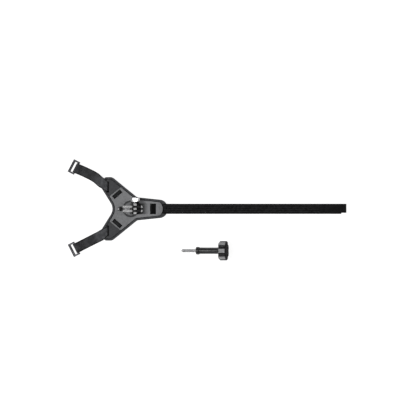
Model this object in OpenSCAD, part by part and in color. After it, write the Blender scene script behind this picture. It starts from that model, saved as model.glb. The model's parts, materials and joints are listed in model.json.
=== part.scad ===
// Strap mount that carries a small camera on a vented helmet, with its separate locking thumb screw.
// Millimetres, +Z up. The origin is under the turntable's axis, on the pad's underside.
// +X runs along the long strap, and the two webbing arms reach towards -X.

/* [Base pad] */
// Thickness of the soft liner under the pad
liner_t = 0.8; // [0.6:0.1:1.2]
// Height of the pad's inner top face
pad_top = 3.6; // [3.4:0.1:4]
// Height of the raised bead round the pad
bead_top = 5; // [4.6:0.1:5.4]
// Width of the whole rim, from the outer edge to the groove's inner wall
rim_w = 3.9; // [3.5:0.1:4.2]

/* [Plate and covers] */
// Height of the stiff plate's top face
plate_top = 6.8; // [6.8:0.1:7.2]
// Height of the lobe covers' top face
cover_top = 6.2; // [6:0.1:6.4]
// Depth of the recess in the long lobe of the plate
recess_depth = 0.5; // [0.3:0.1:0.6]

/* [Webbing] */
// Width of all webbing and of the long strap
web_w = 15; // [14:0.5:15]
// Thickness of the arms' webbing
web_t = 1.2; // [1:0.1:1.2]
// Thickness of the long hook-and-loop strap
strap_t = 1.5; // [1.2:0.1:1.5]
// Where the long strap ends, measured from the turntable's axis
strap_end = 309.4; // [280:1:320]
// How far the hook tab reaches past the strap's end
tab_reach = 7.4; // [5:0.1:10]

/* [Turntable and fork] */
// Radius of the turntable
table_r = 12.2; // [12:0.1:12.2]
// Height of the fork's pivot axis
pivot_z = 19.5; // [19:0.1:21]
// Radius of the fork's rounded finger ends
finger_r = 7.5; // [7:0.1:7.5]
// Thickness of one fork finger
finger_t = 3; // [2.8:0.1:3]
// Gap between two fingers
finger_gap = 3.2; // [3.1:0.05:3.3]

/* [Locking screw] */
// Radius of the steel stud
stud_r = 2.5; // [2.4:0.1:2.5]
// Length of stud that stands out of the collar
stud_len = 22.7; // [20:0.1:24]
// Radius of the knob over its lobes
knob_r = 14.25; // [13:0.25:15]
// Number of lobes on the knob
knob_lobes = 7; // [5:1:9]

/* [Hidden] */

$fn = 48;
eps = 0.01;
// Clearance between fixed neighbours, round bent webbing, and round a turning shaft
fixed_gap = 0.15;
soft_gap = 0.3;
turn_gap = 0.05;
// Half the gap left between two lengths of webbing where a hinge stands in for their bending
bend_gap = 0.75;
// Clearance of a tight pin or screw, and of a loose one
tight_gap = 0.05;
loose_gap = 0.2;
// Long enough to cut right through
through = 20;

// ---- outline of the pad: the corners of its upper half, each with its rounding radius ----
HALF_OUTLINE = [[54, 12.4, 12], [9.4, 17, 5], [-27.2, 46.8, 9], [-38.2, 46.6, 4],
                [-44.4, 32.6, 3]];
NECK = [-24.1, 0, 16];
OUTLINE = concat(HALF_OUTLINE, [NECK],
                 [for (i = [len(HALF_OUTLINE) - 1:-1:0])
                      [HALF_OUTLINE[i].x, -HALF_OUTLINE[i].y, HALF_OUTLINE[i].z]]);
arc_steps = 8;
min_corner_r = 0.3;

// ---- strap windows in the plate: centre, direction the strap leaves, length, slit width ----
LONG_WINDOW = [[32.8, 0], 0, 15.6, 3.2];
ARM_WINDOW = [[-19.8, 21.5], 131, 15.6, 1.85];
bar_w = 2.2;
bar_top = 5.2;
// Two points on the edge between the plate and the upper lobe cover
COVER_EDGE = [[-31.3, 18.4], [-14.4, 31.7]];
// Round end of the plate: centre on the X axis and radius
plate_end = [34.9, 12.1];
recess = [[17, 43.4], 7.9];
// Pockets in the pad, each [from, to] along X and its half width; and half a loop pocket's length
pocket_floor = 2;
lock_pocket = [[-18.8, -12], 3.2];
strap_pocket = [[28.4, 50.9], 8];
loop_pocket = 3.4;
loop_clear = 0.15;

// ---- arms: slit in the lobe cover, hinge line at the lobe's end, and the webbing's run ----
slit_at = [-33.2, 32.3];
slit_w = 2.8;
slit_len = 16;
hinge_at = [-43.3, 38.9];
hinge_dir = 66;
bar_z = 2.6;
sewn_len = 14;
// Upper and lower arm: buckle bar, direction from the bar to the hub, middle of the run
UPPER_ARM = [[-80, 59.7], -27.5, [[-58, 49.2], [-50.5, 44.8]]];
LOWER_ARM = [[-79.9, -57.6], 27, [[-58, -46.4], [-50.5, -42.6]]];
RUN_Z = [0.4, 2.4];
floor_gap = 0.1;
// How much wider each way the webbing spreads at the hinge line
web_flare = 0.2;

// ---- buckles ----
buckle_len = 20.5;
buckle_depth = 10.5;
buckle_t = 2.6;
buckle_bar_r = 1.2;
buckle_side = 2.5;
buckle_outer_bar = 3.7;
loop_r = buckle_bar_r + soft_gap;

// ---- long strap ----
strap_foot_x = 47.6;
strap_brow_x = 50.8;
strap_hinge_x = 55.2;
strap_rest_x = 76;
fold_x = 200;
tab_len = 40;
tab_w = 13.3;
tab_t = 1.2;
tab_offset = 0.8;

// ---- turntable stack ----
washer_t = 0.5;
washer_r = 10.4;
table_bottom = plate_top + washer_t + turn_gap;
table_top = table_bottom + 2.65;
table_flat_r = 9.5;
table_edge_top = table_bottom + 1.25;
hub_r = 6.05;
hub_bottom = 3.45;
ring_r = 8.4;
ring_clear = 0.8;
notch_count = 12;
notch_depth = 0.9;
notch_w = 2.8;

// ---- fork ----
pivot_x = 6.9;
pivot_bore_r = 2.65;
fork_half = 1.5 * finger_t + finger_gap;
fork_base_t = 1.2;
rib_top = 11.8;
rib_left = -11.5;
rib_right = 17.4;
rib_t = finger_gap - 0.2;
// Dip across the ribs, between the fingers: its centre in X and Z, and its radius
dip_at = [10.1, 16.1];
dip_r = 6.3;
// Height above the pivot of the small flat on top of each finger
finger_flat = 7.2;
boss_r = 5.5;
boss_t = 3;
nut_t = 5.4;
nut_corner_r = 6.6;
nut_bore_r = 2.1;
nut_spigot_r = 3.9;
nut_spigot_t = 1.5;
fork_screw_y = 3.1;
// How far the fork's screws bite above the turntable
fork_screw_bite = 1.2;
small_screw_r = 0.9;

// ---- lock ----
// The tongue slides this far into a notch of the turntable
lock_travel = 0.9;
lock_face_x = -13.3;
lock_block = [2.8, 6.6, 2.7];
lock_tongue = [0.9, 2.4, 0.7];
lock_base = [3, 4.2, 0.8];
lock_stem = [2.2, 2.2, 4];
lock_foot = [3.6, 5.2, 1];
lock_slot_w = 2.5;
pip_x = -17.6;
pip_r = 1.45;
pip_pin_r = 0.7;
pip_pin_h = 1.2;

lock_base_z = plate_top + floor_gap;
lock_stem_x = lock_face_x - lock_block.x - 0.3;

// ---- plate screws, driven from below ----
PLATE_SCREWS = [[22, 6], [22, -6], [-13, 13], [-13, -13]];
plate_screw_r = 1.2;
plate_screw_head_r = 2.4;
plate_screw_head_t = 1.2;
plate_screw_len = 4.8;
plate_screw_top = plate_top - 0.9;

// ---- locking screw: stations along its own axis, from the tip, and how it lies ----
tip_at = [74.1, -61.4];
cone_len = 2.2;
cone_r = 0.8;
shank_r = 2.3;
collar_r = 5.65;
collar_len = 5.1;
barrel_r = 4.7;
barrel_end = 57.4;
knob_t = 11.5;
knob_round = 1.6;
hex_head_r = 5;
hex_head_at = 60.5;
hex_head_t = 4;
cap_r = 9;
cap_t = 1;
// The screw rests on its tip's shoulder and on the knob's rim, so its axis is tilted
rim_s = barrel_end + knob_round - cone_len;
rim_h = knob_r - knob_round - stud_r;
screw_tilt = atan2(rim_h, rim_s) + asin(knob_round / norm([rim_s, rim_h]));

// ---- helpers ----
function unit(v) = v / norm(v);
function left_of(v) = [-v.y, v.x];
function rotated(v, a) = [v.x * cos(a) - v.y * sin(a), v.x * sin(a) + v.y * cos(a)];
function polar(r, a) = [r * cos(a), r * sin(a)];
function xy(v) = [v.x, v.y];
function mirrored(v) = [v.x, -v.y];

// The arc that rounds corner c between its neighbours
function corner_arc(before, c, after, r) =
    let (a = unit(c - before), b = unit(after - c), side = sign(cross(a, b)),
         turn = acos(a * b), start = c - r * tan(turn / 2) * a,
         centre = start + side * r * left_of(a))
    [for (i = [0:arc_steps]) centre + rotated(start - centre, side * turn * i / arc_steps)];

// A corner moved inwards by d, with its radius changed to match
function inset_corner(corners, i, d) =
    let (n = len(corners), c = xy(corners[i]), a = unit(c - xy(corners[(i + n - 1) % n])),
         b = unit(xy(corners[(i + 1) % n]) - c), na = left_of(a), nb = left_of(b),
         moved = c + d * (na + nb) / (1 + na * nb))
    [moved.x, moved.y, max(corners[i].z - sign(cross(a, b)) * d, min_corner_r)];

// The pad's outline, moved inwards by d
function outline(d) =
    let (n = len(OUTLINE), moved = [for (i = [0:n - 1]) inset_corner(OUTLINE, i, d)])
    [for (i = [0:n - 1])
         each corner_arc(xy(moved[(i + n - 1) % n]), xy(moved[i]), xy(moved[(i + 1) % n]),
                         moved[i].z)];

module slab(d, low, high) {
    translate([0, 0, low]) linear_extrude(high - low) polygon(outline(d));
}

// A profile drawn in X and Z, made w wide along Y
module across_y(w) {
    translate([0, w / 2, 0]) rotate([90, 0, 0]) linear_extrude(w) children();
}

module rod_y(x, z, r, from, to) {
    translate([x, from, z]) rotate([-90, 0, 0]) cylinder(r = r, h = to - from);
}

// The half plane beyond the edge between the plate and a lobe cover
module beyond_cover_edge(gap) {
    a = COVER_EDGE[0];
    run = COVER_EDGE[1] - a;
    translate(a) rotate(atan2(run.y, run.x)) translate([-60, gap]) square([120, 60]);
}

module both_sides() {
    children();
    mirror([0, 1, 0]) children();
}

// Moves children to a window, with X along the strap
module at_window(window) {
    translate(window[0]) rotate(window[1]) children();
}

module window_cut(window) {
    span = bar_w + 2 * window[3];
    at_window(window) {
        translate([-span / 2, -window[2] / 2, bar_top]) cube([span, window[2], plate_top]);
        for (side = [-1, 1])
            translate([side * (bar_w + window[3]) / 2, 0, plate_top / 2])
                cube([window[3], window[2], 2 * plate_top], center = true);
    }
}

// Half the length, along the strap, of webbing that goes round a window's bar
function loop_half(window) = bar_w / 2 + window[3] - loop_clear;

// Webbing that goes round a window's bar, as a profile in X and Z
module bar_loop(t, half_w) {
    rise = bar_top - pad_top + 2 * floor_gap;
    translate([0, pad_top - floor_gap]) difference() {
        translate([-half_w, -t]) square([2 * half_w, rise + 2 * t]);
        translate([t - half_w, 0]) square([2 * (half_w - t), rise]);
    }
}

// Plan of the webbing under the upper lobe cover, grown sideways by extra
module tail_plan(extra) {
    outer = ARM_WINDOW[0] + polar(loop_half(ARM_WINDOW) - web_t, ARM_WINDOW[1]);
    half = web_w / 2 + extra;
    across = polar(half, ARM_WINDOW[1] - 90);
    polygon([outer + across, slit_at + [-extra, half], slit_at + [-extra, -half], outer - across]);
}

// A flat band through stations [[x, y], z of its underside, direction of its width, half width]
function across(path, i) =
    let (along = path[i + 1] - path[i - 1]) atan2(along.y, along.x) + 90;

function side_point(s, way, lift) =
    let (p = s[0] + way * polar(s[3], s[2])) [p.x, p.y, s[1] + lift];

module band(stations, t) {
    n = len(stations);
    points = [for (s = stations)
                  each [side_point(s, -1, 0), side_point(s, 1, 0), side_point(s, 1, t),
                        side_point(s, -1, t)]];
    walls = [for (i = [0:n - 2]) for (k = [0:3])
                 let (a = 4 * i + k, b = 4 * i + (k + 1) % 4)
                 each [[a, b, b + 4], [a, b + 4, a + 4]]];
    last = 4 * (n - 1);
    ends = [[0, 3, 2], [0, 2, 1], [last, last + 1, last + 2], [last, last + 2, last + 3]];
    polyhedron(points = points, faces = concat(walls, ends), convexity = 4);
}

// ---- pad, plate and covers ----
module liner() {
    color("#2b2b2d") slab(1, 0, liner_t);
}

module screw_wells() {
    for (p = PLATE_SCREWS)
        translate([p.x, p.y, 0]) {
            cylinder(r = plate_screw_r + loose_gap, h = through);
            cylinder(r = plate_screw_head_r + loose_gap, h = pocket_floor + loose_gap);
        }
}

module base_pad() {
    bead_in = 2.9;
    lip = 1.3;
    color("#3a3b3d") difference() {
        union() {
            slab(0, liner_t, bead_top - 0.6);
            slab(lip, liner_t, bead_top);
        }
        slab(bead_in, pad_top, bead_top + 1);
        translate([0, 0, pocket_floor]) {
            cylinder(r = ring_r + ring_clear, h = through);
            translate([lock_pocket[0][0], -lock_pocket[1], 0])
                cube([lock_pocket[0][1] - lock_pocket[0][0], 2 * lock_pocket[1], through]);
            translate([0, 0, -floor_gap]) {
                translate([strap_pocket[0][0], -strap_pocket[1], 0])
                    cube([strap_pocket[0][1] - strap_pocket[0][0], 2 * strap_pocket[1], through]);
                both_sides() {
                    linear_extrude(through) tail_plan(2 * loose_gap);
                    at_window(ARM_WINDOW) translate([-loop_pocket, -strap_pocket[1], 0])
                        cube([2 * loop_pocket, 2 * strap_pocket[1], through]);
                }
            }
        }
        screw_wells();
    }
}

module top_plate() {
    color("#77787b") difference() {
        translate([0, 0, pad_top]) linear_extrude(plate_top - pad_top) difference() {
            polygon(outline(rim_w));
            both_sides() beyond_cover_edge(0);
            difference() {
                translate([plate_end[0], -30]) square([60, 60]);
                translate([plate_end[0], 0]) circle(r = plate_end[1], $fn = 96);
            }
        }
        window_cut(LONG_WINDOW);
        both_sides() window_cut(ARM_WINDOW);
        translate([recess[0][0], -recess[1], plate_top - recess_depth])
            cube([recess[0][1] - recess[0][0], 2 * recess[1], 2]);
        cylinder(r = hub_r + turn_gap, h = through);
        translate([lock_stem_x - loose_gap, -lock_slot_w / 2, 0])
            cube([lock_stem.x + lock_travel + 2 * loose_gap, lock_slot_w, through]);
        for (p = PLATE_SCREWS)
            translate([p.x, p.y, 0]) cylinder(r = plate_screw_r + tight_gap, h = plate_screw_top);
    }
}

module lobe_cover() {
    color("#444547") difference() {
        translate([0, 0, pad_top]) linear_extrude(cover_top - pad_top) intersection() {
            polygon(outline(rim_w));
            beyond_cover_edge(fixed_gap);
        }
        translate([slit_at.x - slit_w / 2, slit_at.y - slit_len / 2, 0]) cube([slit_w, slit_len, through]);
    }
}

module lobe_cover_upper() lobe_cover();

module lobe_cover_lower() mirror([0, 1, 0]) lobe_cover();

// ---- webbing arms ----
module arm_anchor() {
    color("#1f2022") {
        at_window(ARM_WINDOW) across_y(web_w) bar_loop(web_t, loop_half(ARM_WINDOW));
        translate([0, 0, pad_top - floor_gap - web_t]) linear_extrude(web_t) tail_plan(0);
    }
}

module arm_anchor_upper() arm_anchor();

module arm_anchor_lower() mirror([0, 1, 0]) arm_anchor();

module arm_lap() {
    half = web_w / 2;
    near = hinge_at + polar(bend_gap, hinge_dir - 90);
    lip = slit_at + [floor_gap - slit_w / 2, 0.4];
    foot = lip + [1.15, -0.4];
    color("#3c3d3f") band([[near, bead_top + floor_gap, hinge_dir, half + web_flare],
                           [hinge_at + [3.6, -2], cover_top + floor_gap, hinge_dir + 4, half],
                           [lip, cover_top + floor_gap, 90, half],
                           [foot, pad_top + loose_gap, 90, half]], web_t);
}

module arm_lap_upper() arm_lap();

module arm_lap_lower() mirror([0, 1, 0]) arm_lap();

// From the sewn end to the hinge line; hinge is its point there
module arm_run(arm, hinge, hinge_width_dir) {
    start = arm[0] + polar(sewn_len, arm[1]);
    half = web_w / 2;
    end = hinge - polar(bend_gap, hinge_width_dir - 90);
    path = [start, arm[2][0], arm[2][1], end];
    color("#3c3d3f") band([[start, floor_gap, arm[1] + 90, half],
                           [path[1], RUN_Z[0], across(path, 1), half],
                           [path[2], RUN_Z[1], across(path, 2), half],
                           [end, bead_top + floor_gap, hinge_width_dir, half + web_flare]], web_t);
}

module arm_strap_upper() arm_run(UPPER_ARM, hinge_at, hinge_dir);

module arm_strap_lower() arm_run(LOWER_ARM, mirrored(hinge_at), 180 - hinge_dir);

// The sewn end: webbing round the buckle's bar and back along itself, X along the arm
module arm_end(arm) {
    outer_r = loop_r + web_t;
    taper = 8;
    z0 = bar_z - outer_r;
    color("#3c3d3f") translate(arm[0]) rotate(arm[1]) across_y(web_w) difference() {
        union() {
            translate([0, bar_z]) circle(r = outer_r);
            polygon([[0, z0], [sewn_len - 0.1, z0], [sewn_len - 0.1, z0 + 2 * web_t],
                     [taper, z0 + 2 * web_t], [0.6, bar_z + outer_r - 0.1], [0, bar_z]]);
        }
        translate([0, bar_z]) circle(r = loop_r);
    }
}

module arm_end_upper() arm_end(UPPER_ARM);

module arm_end_lower() arm_end(LOWER_ARM);

// A buckle with its inner bar on the Y axis, reaching towards -X
module buckle_ring() {
    half_t = buckle_t / 2;
    reach = buckle_depth - buckle_bar_r;
    half = buckle_len / 2;
    rod_y(0, 0, buckle_bar_r, -half + 0.5, half - 0.5);
    rod_y(half_t - reach, 0, half_t, -half, half);
    rod_y(buckle_outer_bar - half_t - reach, 0, half_t, -half, half);
    translate([half_t - reach, -half, -half_t])
        cube([buckle_outer_bar - buckle_t, buckle_len, buckle_t]);
    both_sides() {
        translate([half_t - reach, half - buckle_side, -half_t])
            cube([reach - half_t, buckle_side, buckle_t]);
        rod_y(0, 0, half_t, half - buckle_side, half);
    }
}

module buckle(arm) {
    drop = asin((bar_z - buckle_t / 2 - floor_gap) / (buckle_depth - buckle_bar_r - buckle_t / 2));
    color("#55575b") translate([arm[0].x, arm[0].y, bar_z]) rotate(arm[1]) rotate([0, -drop, 0])
        buckle_ring();
}

module buckle_upper() buckle(UPPER_ARM);

module buckle_lower() buckle(LOWER_ARM);

// ---- long strap ----
module strap_root() {
    low = pad_top - floor_gap - strap_t;
    bar_x = LONG_WINDOW[0].x;
    half = loop_half(LONG_WINDOW);
    start = [half - 1, low];
    foot = [strap_foot_x - bar_x, low];
    brow = [strap_brow_x - bar_x, bead_top + floor_gap];
    end = [strap_hinge_x - bend_gap - bar_x, bead_top + floor_gap];
    top = [0, strap_t];
    lean = [-0.6, strap_t];
    color("#141416") translate([bar_x, 0, 0]) across_y(web_w) {
        bar_loop(strap_t, half);
        polygon([start, foot, brow, end, end + top, brow + lean, foot + lean, start + top]);
    }
}

module strap_near() {
    under = [[strap_hinge_x + bend_gap, bead_top + floor_gap], [strap_hinge_x + 4, bead_top - 0.3],
             [strap_rest_x - 7, 1], [strap_rest_x, floor_gap], [fold_x - soft_gap, floor_gap]];
    last = len(under) - 1;
    color("#141416") across_y(web_w)
        polygon(concat(under, [for (i = [last:-1:0]) under[i] + [0, strap_t]]));
}

module strap_far() {
    start = fold_x + soft_gap;
    color("#141416") translate([start, -web_w / 2, floor_gap])
        cube([strap_end - start, web_w, strap_t]);
}

module hook_tab() {
    color("#101012") translate([strap_end + tab_reach - tab_len, tab_offset - tab_w / 2,
                                floor_gap + strap_t])
        cube([tab_len, tab_w, tab_t]);
}

// ---- turntable ----
module friction_washer() {
    color("#202022") translate([0, 0, plate_top]) difference() {
        cylinder(r = washer_r, h = washer_t);
        translate([0, 0, -1]) cylinder(r = hub_r + 0.4, h = 4);
    }
}

module turntable() {
    color("#6c6d70") difference() {
        rotate_extrude($fn = 96) polygon([[0, hub_bottom], [hub_r, hub_bottom], [hub_r, table_bottom],
                                          [table_r, table_bottom], [table_r, table_edge_top],
                                          [table_flat_r, table_top], [0, table_top]]);
        for (i = [0:notch_count - 1])
            rotate(180 + i * 360 / notch_count)
                translate([table_r - notch_depth, -notch_w / 2, table_bottom - 1])
                    cube([3, notch_w, 1 + table_edge_top - table_bottom - 0.3]);
        translate([0, 0, hub_bottom - 1]) cylinder(r = 1.9, h = 5.6);
        for (y = [-fork_screw_y, fork_screw_y])
            translate([pivot_x - 4, y, 0]) {
                cylinder(r = small_screw_r + 0.1, h = through);
                cylinder(r = 1.9, h = hub_bottom + 1.3);
            }
    }
}

module swivel_ring() {
    color("#a8a9ac") translate([0, 0, pocket_floor + 0.25]) difference() {
        cylinder(r = ring_r, h = hub_bottom - pocket_floor - 0.25);
        translate([0, 0, -1]) cylinder(r = 1.95, h = 4);
        translate([0, 0, -1]) cylinder(r = 3.6, h = 1.7);
    }
}

module swivel_screw() {
    color("#b4b5b8") translate([0, 0, pocket_floor + 0.25]) {
        cylinder(r = 3.5, h = 0.65);
        cylinder(r = 1.85, h = 5.6);
    }
}

// ---- fork ----
module finger_profile() {
    translate([pivot_x, pivot_z]) intersection() {
        circle(r = finger_r, $fn = 96);
        translate([-finger_r, -finger_r]) square([2 * finger_r, finger_r + finger_flat]);
    }
    translate([pivot_x - finger_r, table_top]) square([2 * finger_r, pivot_z - table_top]);
}

module rib_profile() {
    difference() {
        translate([rib_left, table_top]) square([rib_right - rib_left, rib_top - table_top]);
        translate(dip_at) circle(r = dip_r, $fn = 96);
    }
}

module camera_fork() {
    color("#242527") difference() {
        union() {
            for (k = [-1, 0, 1])
                translate([0, k * (finger_t + finger_gap), 0]) across_y(finger_t) finger_profile();
            for (k = [-1, 1])
                translate([0, k * fork_screw_y, 0]) across_y(rib_t) rib_profile();
            translate([pivot_x - finger_r, -fork_half, table_top])
                cube([2 * finger_r, 2 * fork_half, fork_base_t]);
            rod_y(pivot_x, pivot_z, boss_r, fork_half - 1, fork_half + boss_t);
        }
        rod_y(pivot_x, pivot_z, pivot_bore_r, -through, through);
        rod_y(pivot_x, pivot_z, nut_spigot_r + tight_gap, fork_half + boss_t - nut_spigot_t, through);
        for (y = [-fork_screw_y, fork_screw_y])
            translate([pivot_x - 4, y, 0])
                cylinder(r = small_screw_r + tight_gap, h = table_top + fork_screw_bite + loose_gap);
    }
}

module fork_nut() {
    face = fork_half + boss_t;
    color("#d5d6d8") difference() {
        union() {
            translate([pivot_x, face, pivot_z]) rotate([-90, 0, 0])
                cylinder(r = nut_corner_r, h = nut_t, $fn = 6);
            rod_y(pivot_x, pivot_z, nut_spigot_r, face - nut_spigot_t, face + 1);
        }
        rod_y(pivot_x, pivot_z, nut_bore_r, face - 5, face + 10);
    }
}

module fork_screws() {
    color("#b4b5b8") for (y = [-fork_screw_y, fork_screw_y])
        translate([pivot_x - 4, y, hub_bottom + 0.1]) {
            cylinder(r = 1.8, h = 1.2);
            cylinder(r = small_screw_r, h = table_top + fork_screw_bite - hub_bottom);
        }
}

// ---- lock ----
// A block of the given size, centred on Y, with its low left corner at x and z
module standing(x, z, size) {
    translate([x, -size.y / 2, z]) cube(size);
}

module lock_slider() {
    left = lock_face_x - lock_block.x;
    color("#1c1d1f") difference() {
        union() {
            standing(left, lock_base_z, lock_block);
            standing(lock_face_x - eps, table_bottom + floor_gap, lock_tongue);
            standing(left - lock_base.x + eps, lock_base_z, lock_base);
            standing(lock_stem_x, pad_top - loose_gap, lock_stem);
            standing(lock_stem_x - 0.9, pad_top - floor_gap - lock_foot.z, lock_foot);
        }
        translate([pip_x, 0, lock_base_z - 1]) cylinder(r = pip_pin_r + tight_gap, h = 4);
    }
}

module lock_pip() {
    color("#e2e3e5") translate([pip_x, 0, lock_base_z]) {
        cylinder(r = pip_pin_r, h = pip_pin_h);
        translate([0, 0, lock_base.z])
            rotate_extrude() polygon([[0, 0], [pip_r, 0], [pip_r, 0.7], [pip_r * 0.8, 1.3],
                                      [pip_r * 0.4, 1.6], [0, 1.7]]);
    }
}

module plate_screws() {
    color("#9fa0a3") for (p = PLATE_SCREWS)
        translate([p.x, p.y, liner_t + tight_gap]) {
            cylinder(r = plate_screw_head_r, h = plate_screw_head_t);
            cylinder(r = plate_screw_r, h = plate_screw_len);
        }
}

// ---- locking screw, drawn along +X from its tip and laid down ----
module laid_down() {
    lift = cone_len * sin(screw_tilt) - stud_r * cos(screw_tilt);
    translate([tip_at.x, tip_at.y, floor_gap - lift]) rotate([0, -screw_tilt, 0]) children();
}

// A body of revolution about X through points [distance along the axis, radius]
module turned(points) {
    rotate([0, 90, 0]) rotate_extrude($fn = 72) polygon([for (p = points) [p.y, p.x]]);
}

module screw_stud() {
    color("#c9cacc") laid_down() {
        turned([[0, 0], [0, cone_r], [cone_len, stud_r], [stud_len, stud_r], [stud_len, shank_r],
                [hex_head_at, shank_r], [hex_head_at, 0]]);
        translate([hex_head_at, 0, 0]) rotate([0, 90, 0])
            cylinder(r = hex_head_r, h = hex_head_t, $fn = 6);
    }
}

module screw_collar() {
    bore = shank_r + tight_gap;
    end = stud_len + collar_len;
    color("#1b1c1e") laid_down()
        turned([[stud_len, bore], [stud_len, collar_r - 0.5], [stud_len + 0.5, collar_r],
                [end - 1, collar_r], [end, barrel_r + 0.2], [end, bore]]);
}

module screw_barrel() {
    bore = shank_r + tight_gap;
    start = stud_len + collar_len;
    color("#1b1c1e") laid_down()
        turned([[start, bore], [start, barrel_r], [barrel_end - 2.5, barrel_r],
                [barrel_end, barrel_r + 1.2], [barrel_end, bore]]);
}

module screw_knob() {
    flute_r = 3.4;
    flute_at = knob_r + 1.9;
    color("#1b1c1e") laid_down() difference() {
        translate([barrel_end, 0, 0]) {
            turned([[0, 0], [0, knob_r - knob_round], [knob_round, knob_r - knob_round],
                    [knob_round, knob_r], [knob_t - knob_round, knob_r],
                    [knob_t - knob_round, knob_r - knob_round], [knob_t, knob_r - knob_round],
                    [knob_t, 0]]);
            for (s = [knob_round, knob_t - knob_round])
                translate([s, 0, 0]) rotate([0, 90, 0]) rotate_extrude($fn = 72)
                    translate([knob_r - knob_round, 0]) circle(r = knob_round, $fn = 24);
        }
        for (i = [0:knob_lobes - 1])
            rotate([(i + 0.5) * 360 / knob_lobes, 0, 0]) translate([barrel_end - 1, 0, flute_at])
                rotate([0, 90, 0]) cylinder(r = flute_r, h = knob_t + 2);
        translate([barrel_end - 1, 0, 0]) rotate([0, 90, 0]) cylinder(r = shank_r + tight_gap, h = 5);
        translate([hex_head_at, 0, 0]) rotate([0, 90, 0])
            cylinder(r = hex_head_r + 0.1, h = through, $fn = 6);
        translate([barrel_end + knob_t - cap_t, 0, 0]) rotate([0, 90, 0])
            cylinder(r = cap_r + tight_gap, h = 5);
    }
}

module knob_cap() {
    color("#26272a") laid_down() translate([barrel_end + knob_t - cap_t, 0, 0])
        rotate([0, 90, 0]) cylinder(r = cap_r, h = cap_t - 0.05);
}

liner();
base_pad();
top_plate();
lobe_cover_upper();
lobe_cover_lower();
arm_anchor_upper();
arm_anchor_lower();
arm_lap_upper();
arm_lap_lower();
arm_strap_upper();
arm_strap_lower();
arm_end_upper();
arm_end_lower();
buckle_upper();
buckle_lower();
strap_root();
strap_near();
strap_far();
hook_tab();
friction_washer();
turntable();
swivel_ring();
swivel_screw();
camera_fork();
fork_nut();
fork_screws();
lock_slider();
lock_pip();
plate_screws();
screw_stud();
screw_collar();
screw_barrel();
screw_knob();
knob_cap();
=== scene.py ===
import json
import math

import bmesh
import bpy
from mathutils import Matrix, Vector


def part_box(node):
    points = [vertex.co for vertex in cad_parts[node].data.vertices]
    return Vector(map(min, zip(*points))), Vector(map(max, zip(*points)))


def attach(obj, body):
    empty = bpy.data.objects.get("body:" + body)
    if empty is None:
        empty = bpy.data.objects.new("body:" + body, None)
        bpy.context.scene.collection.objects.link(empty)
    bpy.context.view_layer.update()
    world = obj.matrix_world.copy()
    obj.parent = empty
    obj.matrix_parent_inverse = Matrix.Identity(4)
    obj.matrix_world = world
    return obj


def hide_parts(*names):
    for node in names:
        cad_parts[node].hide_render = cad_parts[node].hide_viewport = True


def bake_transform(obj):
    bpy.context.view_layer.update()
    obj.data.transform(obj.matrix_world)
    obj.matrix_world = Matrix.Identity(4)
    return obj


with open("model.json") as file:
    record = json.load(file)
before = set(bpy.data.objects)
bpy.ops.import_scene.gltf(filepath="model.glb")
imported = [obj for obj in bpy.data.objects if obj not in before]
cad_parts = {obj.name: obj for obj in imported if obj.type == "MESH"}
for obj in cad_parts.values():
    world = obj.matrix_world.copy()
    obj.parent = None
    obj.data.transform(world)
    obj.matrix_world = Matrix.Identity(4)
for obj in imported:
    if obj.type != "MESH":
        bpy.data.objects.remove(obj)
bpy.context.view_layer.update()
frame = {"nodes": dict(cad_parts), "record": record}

# Looks of a helmet strap camera mount with its locking thumb screw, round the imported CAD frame.
# Shapes are worked out in millimetres and made in metres.

RECORD = frame["record"]
BODY = {n: b for b, nodes in RECORD["behaviour"]["bodies"].items() for n in nodes}
SLOT = {s["node"]: s["material_slot"] for s in RECORD["subparts"]}
MOUNT = {m["name"]: m for m in RECORD["mounts"]}
MM = 0.001
STRAP_W = 15


# ---- nodes and materials ----
def add(tree, kind, inputs=None, **settings):
    """A shader node; an input is a value for its socket, or another node's socket to link."""
    node = tree.nodes.new("ShaderNode" + kind)
    for key, value in settings.items():
        setattr(node, key, value)
    for key, value in (inputs or {}).items():
        if isinstance(value, bpy.types.NodeSocket):
            tree.links.new(value, node.inputs[key])
        else:
            node.inputs[key].default_value = value
    return node


def maths(tree, operation, first, second=None):
    inputs = {0: first} if second is None else {0: first, 1: second}
    return add(tree, "Math", inputs, operation=operation).outputs[0]


def ramp(tree, value, stops):
    """A colour ramp from (place, grey or colour) stops."""
    node = add(tree, "ValToRGB", {"Fac": value})
    elements = node.color_ramp.elements
    while len(elements) < len(stops):
        elements.new(0.5)
    for element, (place, colour) in zip(elements, stops):
        element.position = place
        rgb = colour if hasattr(colour, "__len__") else (colour,) * 3
        element.color = (*rgb, 1.0)
    return node.outputs["Color"]


def noise(tree, vector, scale, detail=3.0, rough=0.55):
    inputs = {"Vector": vector, "Scale": scale, "Detail": detail, "Roughness": rough}
    return add(tree, "TexNoise", inputs).outputs["Fac"]


def mixed(tree, *layers):
    """The sum of (value, share) layers."""
    total = maths(tree, "MULTIPLY", *layers[0])
    for layer in layers[1:]:
        total = maths(tree, "ADD", total, maths(tree, "MULTIPLY", *layer))
    return total


def mapped(tree, value, low, high, from_low=0.0, from_high=1.0):
    inputs = {"Value": value, "From Min": from_low, "From Max": from_high,
              "To Min": low, "To Max": high}
    return add(tree, "MapRange", inputs).outputs[0]


def new_material(name, **constants):
    """An empty principled material: returns it with its tree and its shader."""
    material = bpy.data.materials.new(name)
    material.use_nodes = True
    tree = material.node_tree
    tree.nodes.clear()
    shader = add(tree, "BsdfPrincipled", constants)
    out = add(tree, "OutputMaterial")
    tree.links.new(shader.outputs[0], out.inputs["Surface"])
    return material, tree, shader


def bump(tree, shader, height, depth, strength=1.0):
    node = add(tree, "Bump", {"Height": height, "Distance": depth, "Strength": strength})
    tree.links.new(node.outputs[0], shader.inputs["Normal"])


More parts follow.
